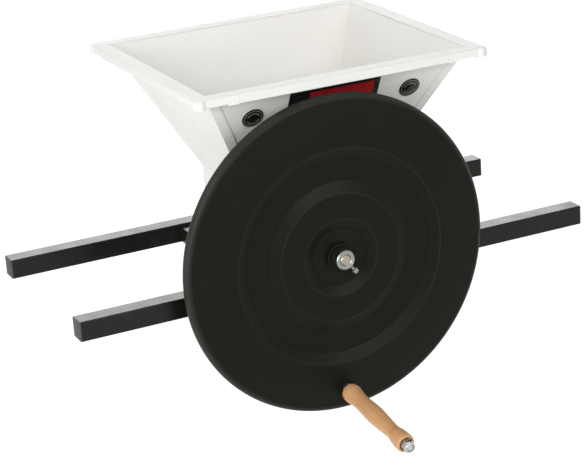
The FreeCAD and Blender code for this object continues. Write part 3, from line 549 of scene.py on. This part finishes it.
def rounded(points, radii, step=8):
    """Path of (radius, height) points with each corner that has a radius rounded by an arc."""
    path = []
    for index, (corner, radius) in enumerate(zip(points, radii)):
        corner = Vector(corner)
        if radius <= 0:
            path.append(corner)
            continue
        back = (Vector(points[index - 1]) - corner).normalized()
        ahead = (Vector(points[(index + 1) % len(points)]) - corner).normalized()
        half = back.angle(ahead) / 2
        centre = corner + (back + ahead).normalized() * radius / math.sin(half)
        start = corner + back * radius / math.tan(half) - centre
        sweep = start.angle_signed(corner + ahead * radius / math.tan(half) - centre)
        path += [centre + Matrix.Rotation(-sweep * k / step, 2) @ start for k in range(step + 1)]
    return path


def swept(section, segments, loop=True):
    """Mesh whose section at each angle about the Z axis is section(angle), a list of (radius, height). A section
    that starts and ends on the axis isn't a loop."""
    bm = bmesh.new()
    rows = []
    for index in range(segments):
        angle = 2 * math.pi * index / segments
        rows.append([bm.verts.new((radius * math.cos(angle), radius * math.sin(angle), height))
                     for radius, height in section(angle)])
    count = len(rows[0])
    for row, following in zip(rows, rows[1:] + rows[:1]):
        for k in range(count if loop else count - 1):
            j = (k + 1) % count
            bm.faces.new((row[k], row[j], following[j], following[k]))
    bmesh.ops.remove_doubles(bm, verts=bm.verts, dist=1e-7)
    bmesh.ops.dissolve_degenerate(bm, edges=bm.edges, dist=1e-7)
    return bm


def turned(path, segments, loop=True):
    """Path of (radius, height) points, turned about the Z axis."""
    return swept(lambda angle: path, segments, loop)


def ring_path(outer, inner, low, high, chamfer):
    """Section of a ring with its four edges chamfered."""
    return [(inner, low + chamfer), (inner + chamfer, low), (outer - chamfer, low), (outer, low + chamfer),
            (outer, high - chamfer), (outer - chamfer, high), (inner + chamfer, high), (inner, high - chamfer)]


def prism_reach(sides, flats, angle):
    """Distance from the axis to the side of a regular prism with a corner at angle 0."""
    step = 2 * math.pi / sides
    return flats / 2 / math.cos(angle % step - step / 2)


def chamfered(sides, flats, angle):
    """Radius where a prism's end is still flat, its reach at an angle, and how far its edge drops there."""
    flat = nut_flat_share * flats
    reach = prism_reach(sides, flats, angle)
    return flat, reach, (reach - flat) * math.tan(nut_chamfer)


def nut(flats, height, bore, turn=0.0):
    """Hexagon nut from z = 0 upwards, chamfered at both ends."""
    def section(angle):
        flat, reach, drop = chamfered(6, flats, angle)
        mouth = nut_mouth_share * bore
        return [(bore, mouth), (bore + mouth, 0), (flat, 0), (reach, drop), (reach, height - drop), (flat, height),
                (bore + mouth, height), (bore, height - mouth)]
    bm = swept(section, 48)
    bmesh.ops.rotate(bm, verts=bm.verts, matrix=Matrix.Rotation(turn, 3, "Z"))
    return bm


def thread(size, length, angle):
    """Section of a thread as (radius, depth), from the plain shank at depth 0 to the middle of its pointed end."""
    radius, pitch = size[0], size[3]
    steps = int(thread_steps * length / pitch)
    path = []
    for k in range(1, steps):
        depth = length * k / steps
        wave = 1 - math.cos(2 * math.pi * depth / pitch - angle)
        groove = thread_depth * pitch * wave * min(1.0, k / thread_steps)
        path.append((min(radius - groove, point_share * radius + length - depth), depth))
    return path + [(point_share * radius, length), (0, length)]


def bolt(head, size, length, threaded):
    """Bolt with its head above z = 0: head(angle) gives the head's section from the axis to the shank."""
    plain = length - threaded

    def section(angle):
        screw = [(radius, -plain - depth) for radius, depth in thread(size, threaded, angle)]
        return head(angle) + [(size[0], 0), (size[0], -plain)] + screw
    return swept(section, 36, False)


def hex_head(size):
    """Hexagon head, chamfered at its top."""
    def section(angle):
        flat, reach, drop = chamfered(6, size[1], angle)
        return [(0, size[2]), (flat, size[2]), (reach, size[2] - drop), (reach, 0)]
    return section


def square_head(size, height):
    """Square head with a round flange under it."""
    def section(angle):
        flat, reach, drop = chamfered(4, size, angle + math.pi / 4)
        flange, thick = flange_share * size, flange_height_share * height
        return [(0, height), (flat, height), (reach, height - 0.5 * drop), (reach, thick), (flange, thick),
                (flange, 0)]
    return section


def dome_head(size):
    """Round head with a low dome and a short straight edge."""
    radius, height = dome_share * size[1], dome_share * size[2]
    edge = dome_edge_share * height
    angles = [math.pi * k / 20 for k in range(11)]
    arc = [(radius * math.sin(a), edge + (height - edge) * math.cos(a)) for a in angles]
    return lambda angle: arc + [(radius, 0)]


def islands(node):
    """Corners of each separate solid of a CAD node."""
    bm = bmesh.new()
    bm.from_mesh(nodes[node].data)
    bmesh.ops.remove_doubles(bm, verts=bm.verts, dist=1e-6)
    left = set(bm.verts)
    found = []
    while left:
        island = {left.pop()}
        edge = set(island)
        while edge:
            edge = {other for vert in edge for link in vert.link_edges for other in link.verts} - island
            island |= edge
        left -= island
        found.append([vert.co.copy() for vert in island])
    bm.free()
    return sorted(found, key=lambda points: tuple(round(sum(axis), 4) for axis in zip(*points)))


def middle(points):
    """Middle of the box round some points."""
    lows, highs = zip(*((min(axis), max(axis)) for axis in zip(*points)))
    return (Vector(lows) + Vector(highs)) / 2


def seats(node, axis=None):
    """For each bolt or nut of a CAD node: the seat of its widest part, its direction, and the lengths of the
    wide part and of the shank. Without an axis, each one points away from the shaft."""
    found = []
    for points in islands(node):
        centre = middle(points)
        along = axis or Vector((centre.x - shaft_place.x, 0, centre.z - shaft_place.z)).normalized()
        heights = [(point - centre).dot(along) for point in points]
        reaches = [((point - centre) - along * height).length for point, height in zip(points, heights)]
        wide = [height for height, reach in zip(heights, reaches) if reach > 0.8 * max(reaches)]
        below, above = min(wide) - min(heights), max(heights) - max(wide)
        side = 1 if below >= above else -1
        seat = min(wide) if side > 0 else max(wide)
        found.append((centre + along * seat, along * side, max(wide) - min(wide), max(below, above)))
    return found


def fastened(node, make, axis=None, finish=None):
    """Detailed bolts or nuts in the places of a CAD node's solids: make(wide, shank) gives one of them."""
    whole = bmesh.new()
    for place, direction, wide, shank in seats(node, axis):
        part = make(wide, shank)
        turn = upwards.rotation_difference(direction).to_matrix().to_4x4()
        bmesh.ops.transform(part, matrix=Matrix.Translation(place) @ turn, verts=part.verts)
        joined(whole, part)
    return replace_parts(piece_from(node + "_piece", whole, slots[node], body_named(node), 30.0, finish), node)


def joined(whole, part):
    """Adds one bmesh to another and frees it."""
    mesh = bpy.data.meshes.new("part")
    part.to_mesh(mesh)
    part.free()
    whole.from_mesh(mesh)
    bpy.data.meshes.remove(mesh)


def on_shaft(piece, plane):
    """Moves a piece built along Z to the shaft, with Z to the front and z = 0 at y = plane."""
    forwards = Matrix.Rotation(math.pi / 2, 4, "X")
    piece.matrix_world = Matrix.Translation((shaft_place.x, plane, shaft_place.z)) @ forwards


def on_crank(piece):
    """Moves a piece built along Z to the crank bolt, with z = 0 on the wheel's face."""
    turn = upwards.rotation_difference(Vector(joints["grip_spin"]["axis"])).to_matrix().to_4x4()
    piece.matrix_world = Matrix.Translation(joints["grip_spin"]["pos_m"]) @ turn


def other_face(front, bends, thickness):
    """The far side of a sheet: its corners, and the radii of its bends, 0 where there is none."""
    ways = [(Vector(end) - Vector(start)).normalized() for start, end in zip(front, front[1:])]
    back, turns = [], []
    for point, bend, before, after in zip(front, bends, ways[:1] + ways, ways + ways[-1:]):
        halfway = (before + after).normalized()
        behind = Vector((-halfway.y, halfway.x))
        share = behind.dot(Vector((-after.y, after.x)))
        back.append(Vector(point) + behind * thickness / share)
        turns.append(bend - math.copysign(thickness, before.x * after.y - before.y * after.x) if bend else 0)
    return back, turns


def flywheel_disc():
    """Disc pressed from one sheet, and the bead that its skirt is rolled into."""
    front = [(wheel_radius, wheel_back), (wheel_radius, wheel_edge), (band_inner, band_height),
             (recess_outer, recess_height), (recess_inner, recess_height), (disc_outer, disc_height),
             (disc_inner, disc_height), (centre_radius, centre_height), (hub_radius + seat_gap, centre_height)]
    bends = [0, wheel_edge_round] + [press_round] * 6 + [0]
    back, turns = other_face(front, bends, wheel_sheet)
    path = rounded(front, bends) + list(reversed(rounded(back, turns)))
    piece = piece_from("flywheel_disc_piece", turned(path, wheel_segments), "wheel_paint", "rotor", 50.0)
    on_shaft(piece, wheel_plane)
    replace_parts(piece, "flywheel_disc")
    ring = [(wheel_radius - wheel_bead + wheel_bead * math.cos(a), wheel_back + wheel_bead * math.sin(a))
            for a in (2 * math.pi * k / 20 for k in range(20))]
    bead = piece_from("flywheel_bead_piece", turned(ring, wheel_segments), "wheel_paint", "rotor")
    on_shaft(bead, wheel_plane)


def catmull(points, steps):
    """Smooth path through (share, radius) points."""
    path = []
    for index in range(len(points) - 1):
        p = [Vector(points[min(max(index + k, 0), len(points) - 1)]) for k in (-1, 0, 1, 2)]
        for step in range(steps):
            t = step / steps
            path.append(0.5 * ((2 * p[1]) + (p[2] - p[0]) * t + (2 * p[0] - 5 * p[1] + 4 * p[2] - p[3]) * t ** 2
                               + (3 * p[1] - p[0] - 3 * p[2] + p[3]) * t ** 3))
    return path + [Vector(points[-1])]


def grip():
    """Turned grip, bored along its length and recessed at its outer end."""
    side = [(radius * mm, share * grip_length) for share, radius in catmull(grip_outline, 8)]
    floor = grip_length - grip_recess
    path = [(grip_bore, 0.0)] + side
    path += [(grip_recess_radius, grip_length), (grip_recess_radius, floor), (grip_bore, floor)]
    piece = piece_from("grip_piece", turned(path, 96), "grip_wood", "grip", 50.0)
    on_crank(piece)
    piece.matrix_world = piece.matrix_world @ Matrix.Translation((0, 0, grip_start))
    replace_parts(piece, "grip")


def hub():
    """Hub through the disc, with its flange behind the sheet."""
    bore = shaft_radius + seat_gap
    back = centre_height - wheel_sheet
    path = [(bore, -hub_tail), (hub_radius - hub_bevel, -hub_tail), (hub_radius, hub_bevel - hub_tail),
            (hub_radius, back - hub_flange), (hub_flange_radius - hub_bevel, back - hub_flange),
            (hub_flange_radius, back - hub_flange + hub_bevel), (hub_flange_radius, back), (hub_radius, back),
            (hub_radius, hub_front - hub_bevel), (hub_radius - hub_bevel, hub_front), (bore, hub_front)]
    piece = piece_from("flywheel_hub_piece", turned(path, 96), "wheel_paint", "rotor")
    on_shaft(piece, wheel_plane)
    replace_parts(piece, "flywheel_hub")


def hub_ring():
    """Stepped ring with a groove round it and a bevelled front edge."""
    bore = hub_radius + seat_gap
    groove = ring_radius - ring_groove
    path = [(bore, 0), (ring_radius - ring_bevel, 0), (ring_radius, ring_bevel), (ring_radius, groove_low),
            (groove, groove_low), (groove, groove_high), (ring_radius, groove_high),
            (ring_radius, ring_shoulder), (groove, ring_width), (bore, ring_width)]
    path = [(radius, height + centre_height) for radius, height in path]
    piece = piece_from("hub_ring_piece", turned(path, 96), "wheel_paint", "rotor")
    on_shaft(piece, wheel_plane)
    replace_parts(piece, "hub_ring")


def set_collar(node):
    """Collar with chamfered edges and fine turned steps on its faces."""
    low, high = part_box(node)
    bore = shaft_radius + seat_gap
    chamfer, bevel, lip = collar_chamfer, collar_bevel, collar_radius - collar_lip
    face = collar_width - collar_step
    path = [(bore, bevel), (bore + bevel, 0), (collar_radius - chamfer, 0), (collar_radius, chamfer),
            (collar_radius, collar_width - chamfer), (collar_radius - chamfer, collar_width), (lip, collar_width),
            (lip - collar_step, face), (bore + chamfer, face), (bore, face - chamfer)]
    piece = piece_from(node + "_piece", turned(path, 96), "zinc_steel", "rotor", 30.0, "shaded_zinc")
    on_shaft(piece, high[1])
    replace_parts(piece, node)


def shaft():
    """Bar with chamfered ends and a drilled centre in its front end."""
    low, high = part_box("shaft")
    length = high[1] - low[1]
    rim = shaft_radius - shaft_chamfer
    path = [(0, -length), (rim, -length), (shaft_radius, shaft_chamfer - length), (shaft_radius, -shaft_chamfer),
            (rim, 0), (centre_drill, 0), (0, -centre_drill)]
    piece = piece_from("shaft_piece", turned(path, 64, False), "shaft_steel", "rotor")
    on_shaft(piece, low[1])
    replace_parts(piece, "shaft")


def crank_part(name, bm, finish=None):
    """Steel piece on the crank bolt."""
    piece = piece_from(name, bm, "zinc_steel", "rotor", 30.0, finish)
    on_crank(piece)
    return piece


def raised(bm, height):
    """Moves a bmesh along Z."""
    bmesh.ops.translate(bm, verts=bm.verts, vec=(0, 0, height))
    return bm


def rod_section(angle, tail, tip):
    """Section of the crank bolt from its front end to its back end, with a thread at each."""
    long, short = lock_nut_length + lock_thread, wheel_sheet + 2 * crank_nut
    front = [(radius, tip - long + depth) for radius, depth in thread(m10, long, -angle)]
    back = [(radius, short - tail - depth) for radius, depth in thread(m10, short, angle)]
    return front[::-1] + [(crank_radius, tip - long), (crank_radius, short - tail)] + back


def lock_nut_section(angle):
    """Section of a lock nut: a chamfered hexagon and the round collar that holds its plastic ring."""
    bore = crank_radius + seat_gap
    flat, reach, drop = chamfered(6, crank_flats, angle)
    soft = lock_collar_round
    arc = [(lock_collar_radius - soft + soft * math.cos(a), lock_nut_length - soft + soft * math.sin(a))
           for a in (math.pi * k / 12 for k in range(7))]
    mouth = lock_nut_length - lock_mouth_depth
    return ([(bore, lock_bore_bevel), (bore + lock_bore_bevel, 0), (flat, 0), (reach, drop),
             (reach, lock_nut_hexagon - drop), (flat, lock_nut_hexagon),
             (lock_collar_radius + lock_step, lock_nut_hexagon),
             (lock_collar_radius, lock_nut_hexagon + lock_step)] + arc
            + [(lock_mouth_radius, lock_nut_length), (lock_mouth_radius, mouth), (bore, mouth)])


def crank_fasteners():
    """Threaded bolt, its nuts and washers, and the lock nut with its plastic ring."""
    bore = crank_radius + seat_gap
    tail = wheel_sheet + crank_nut + crank_tail
    tip = lock_nut_start + lock_nut_length
    piece = crank_part("crank_bolt_piece", swept(lambda angle: rod_section(angle, tail, tip), 36, False))
    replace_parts(piece, "crank_bolt")
    nuts = nut(crank_flats, crank_nut, bore, crank_nut_turn)
    joined(nuts, raised(nut(crank_flats, crank_nut, bore, crank_nut_turn), -wheel_sheet - seat_gap - crank_nut))
    piece = crank_part("crank_nuts_piece", nuts)
    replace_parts(piece, "crank_nuts")
    washers = bmesh.new()
    for start in (crank_nut, outer_washer):
        end = start + washer_thickness
        joined(washers, turned(ring_path(washer_radius, bore, start, end, washer_chamfer), 64))
    # The washers in the darker zinc, painted shade.
    piece = crank_part("crank_washers_piece", washers, "shaded_zinc")
    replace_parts(piece, "crank_washers")
    piece = crank_part("crank_lock_nut_piece", raised(swept(lock_nut_section, 96), lock_nut_start))
    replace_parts(piece, "crank_lock_nut")


def face_frame(place, lean):
    """Placement with X to the right, Y up the front panel and Z out of it."""
    up = Vector((0, -math.sin(lean), math.cos(lean)))
    turn = Matrix((sideways, up, sideways.cross(up))).transposed().to_4x4()
    return Matrix.Translation(place) @ turn


def on_panel(node):
    """Frame of each separate solid of a node on the front panel, with its origin at the solid's back."""
    frames = []
    for points in islands(node):
        turn = face_frame(Vector(), panel_lean)
        local = [turn.inverted() @ point for point in points]
        centre = middle(local)
        frames.append(turn @ Matrix.Translation((centre.x, centre.y, min(point.z for point in local))))
    return frames


def label():
    """Printed plate with softly rounded corners and edges."""
    wide, high, thick = label_size
    bm = bmesh.new()
    bmesh.ops.create_cube(bm, size=1.0)
    bmesh.ops.scale(bm, verts=bm.verts, vec=(wide, high, thick))
    bmesh.ops.translate(bm, verts=bm.verts, vec=(0, 0, thick / 2))
    upright = [edge for edge in bm.edges if abs(edge.verts[0].co.z - edge.verts[1].co.z) > thick / 2]
    bmesh.ops.bevel(bm, geom=upright, offset=label_corner, segments=5, profile=0.5, affect="EDGES")
    rim = [edge for edge in bm.edges if min(vert.co.z for vert in edge.verts) > 0.9 * thick]
    bmesh.ops.bevel(bm, geom=rim, offset=label_rounding, segments=2, profile=0.5, affect="EDGES")
    piece = piece_from("front_label_piece", bm, "label_print", "frame")
    piece.matrix_world = on_panel("front_label")[0]
    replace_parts(piece, "front_label")


def badges():
    """Domed badges, each with a raised rim round its dome."""
    ball = (badge_radius ** 2 + badge_dome ** 2) / (2 * badge_dome)
    groove = badge_radius - badge_rim - badge_groove
    side = [(badge_radius - 0.2 * mm, 0), (badge_radius, 0.2 * mm), (badge_radius, badge_edge - 0.3 * mm),
            (badge_radius - 0.25 * mm, badge_edge - 0.05 * mm), (badge_radius - badge_rim, badge_edge),
            (groove + 0.1 * mm, badge_edge - 0.35 * mm)]
    crown = badge_edge + badge_dome - 0.15 * mm
    reaches = [groove * k / 12 for k in range(12, -1, -1)]
    dome = [(reach, crown - ball + math.sqrt(ball ** 2 - reach ** 2)) for reach in reaches]
    path = [(0, 0)] + side + dome
    for name, place in zip(("left_badge_piece", "right_badge_piece"), on_panel("front_badges")):
        piece = piece_from(name, turned(path, 72, False), "badge_plastic", "frame", 40.0)
        piece.matrix_world = place
        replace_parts(piece, "front_badges")


for node, shape in nodes.items():
    shape.data.materials.clear()
    shape.data.materials.append(materials[slots[node]])

# Rounding of the nodes whose shape is kept: width in millimetres and segments
softening = {
    "rim_plastic": (0.7, 3), "rail_paint": (0.5, 2), "plug_plastic": (0.5, 2), "hopper_paint": (0.45, 2),
    "block_iron": (1.0, 3), "plate_steel": (0.3, 1), "drum_aluminium": (0.5, 2), "bush_bronze": (0.4, 2),
    "wall_bush_plastic": (0.4, 2),
}
for node in nodes:
    if slots[node] in softening:
        width, segments = softening[slots[node]]
        softened(node, width * mm, segments)
flywheel_disc()
hub()
hub_ring()
shaft()
for node in ("set_collar", "rear_collar"):
    set_collar(node)
grip()
crank_fasteners()
# The set screws are threaded but for half a millimetre; the others give their threaded length in millimetres
for node in ("collar_screw", "rear_collar_screw"):
    # The set screws in the darker zinc, painted shade.
    fastened(node, lambda wide, shank: bolt(square_head(set_screw_square, wide), m6, shank, shank - 0.5 * mm),
             screw_out, "shaded_zinc")
for node, head, size, threaded, axis in (
        ("hopper_bolts", dome_head, m6, 14, sideways), ("plate_bolts", dome_head, m6, 9, sideways),
        ("comb_bolts", dome_head, m6, 11, breast_normal), ("knife_screws", dome_head, m5, 12, None),
        ("bearing_bolts", hex_head, m8, 12, upwards)):
    fastened(node, lambda wide, shank: bolt(head(size), size, shank, threaded * mm), axis)
for node, size, axis in (("hopper_nuts", m6, sideways), ("plate_nuts", m6, sideways),
                         ("comb_nuts", m6, breast_normal), ("bearing_nuts", m8, upwards)):
    fastened(node, lambda wide, shank: nut(size[1], wide, size[0] + seat_gap), axis)
label()
badges()


# Stage

def camera():
    """Camera at the photograph's viewing angle, rolled about its line of sight."""
    level = Vector((math.cos(camera_azimuth), math.sin(camera_azimuth), 0))
    ahead = Vector((-math.sin(camera_azimuth) * math.cos(camera_elevation),
                    math.cos(camera_azimuth) * math.cos(camera_elevation), -math.sin(camera_elevation)))
    over = level.cross(ahead)
    right = math.cos(camera_roll) * level + math.sin(camera_roll) * over
    up = math.cos(camera_roll) * over - math.sin(camera_roll) * level
    lens = bpy.data.cameras.new("camera")
    lens.sensor_width = sensor_width
    lens.lens = focal_pixels / image_width * sensor_width
    lens.clip_end = 100.0
    view = bpy.data.objects.new("camera", lens)
    view.matrix_world = Matrix((right, up, -ahead)).transposed().to_4x4()
    view.matrix_world.translation = camera_place
    bpy.context.scene.collection.objects.link(view)
    bpy.context.scene.camera = view


def lamp(name, place, target, size, power):
    """Rectangular lamp that points at a target."""
    data = bpy.data.lights.new(name, "AREA")
    data.shape = "RECTANGLE"
    data.size, data.size_y = size
    data.energy = power
    light = bpy.data.objects.new(name, data)
    aim = (Vector(target) - Vector(place)).to_track_quat("-Z", "Y").to_matrix().to_4x4()
    light.matrix_world = Matrix.Translation(place) @ aim
    bpy.context.scene.collection.objects.link(light)


def seen(tree):
    """1 where the camera, a reflection or a view through glass meets a surface, 0 for light that falls on it."""
    path = tree.nodes.new("ShaderNodeLightPath")
    share = path.outputs["Is Camera Ray"]
    for ray in ("Is Glossy Ray", "Is Transmission Ray"):
        either = tree.nodes.new("ShaderNodeMath")
        either.operation = "MAXIMUM"
        tree.links.new(share, either.inputs[0])
        tree.links.new(path.outputs[ray], either.inputs[1])
        share = either.outputs[0]
    return share


def world():
    """Even light from all sides, shown as white."""
    sky = bpy.data.worlds.new("world")
    sky.use_nodes = True
    tree = sky.node_tree
    light = tree.nodes["Background"]
    light.inputs["Color"].default_value = (1.0, 1.0, 1.0, 1.0)
    light.inputs["Strength"].default_value = world_strength
    white = tree.nodes.new("ShaderNodeBackground")
    white.inputs["Color"].default_value = (1.0, 1.0, 1.0, 1.0)
    mixed = tree.nodes.new("ShaderNodeMixShader")
    tree.links.new(seen(tree), mixed.inputs[0])
    tree.links.new(light.outputs[0], mixed.inputs[1])
    tree.links.new(white.outputs[0], mixed.inputs[2])
    tree.links.new(mixed.outputs[0], tree.nodes["World Output"].inputs["Surface"])
    bpy.context.scene.world = sky


def floor():
    """Pale floor well below the part, which in use stands on the rim of a tub; from under it, it is clear."""
    bm = bmesh.new()
    bmesh.ops.create_grid(bm, x_segments=4, y_segments=4, size=floor_reach)
    mesh = bpy.data.meshes.new("floor")
    bm.to_mesh(mesh)
    bm.free()
    ground = bpy.data.objects.new("floor", mesh)
    ground.location.z = cad_box[0][2] - floor_drop
    bpy.context.scene.collection.objects.link(ground)
    paint = bpy.data.materials.new("floor")
    paint.use_nodes = True
    tree = paint.node_tree
    shader = tree.nodes["Principled BSDF"]
    shader.inputs["Roughness"].default_value = 0.9
    shader.inputs["Specular IOR Level"].default_value = 0.1
    shader.inputs["Emission Color"].default_value = (1, 1, 1, 1)
    tones = (("Base Color", floor_lighting, floor_seen), ("Emission Strength", 0.0, floor_glow))
    for socket, lighting, shown in tones:
        amount = tree.nodes.new("ShaderNodeMapRange")
        amount.inputs["To Min"].default_value = lighting
        amount.inputs["To Max"].default_value = shown
        tree.links.new(seen(tree), amount.inputs["Value"])
        tree.links.new(amount.outputs["Result"], shader.inputs[socket])
    clear = tree.nodes.new("ShaderNodeBsdfTransparent")
    below = tree.nodes.new("ShaderNodeMixShader")
    tree.links.new(tree.nodes.new("ShaderNodeNewGeometry").outputs["Backfacing"], below.inputs[0])
    tree.links.new(shader.outputs[0], below.inputs[1])
    tree.links.new(clear.outputs[0], below.inputs[2])
    tree.links.new(below.outputs[0], tree.nodes["Material Output"].inputs["Surface"])
    mesh.materials.append(paint)


camera()
world()
floor()
for name, place, size, power in lamps:
    lamp(name, place, lamp_target, size, power)
bpy.context.scene.view_settings.view_transform = "Standard"
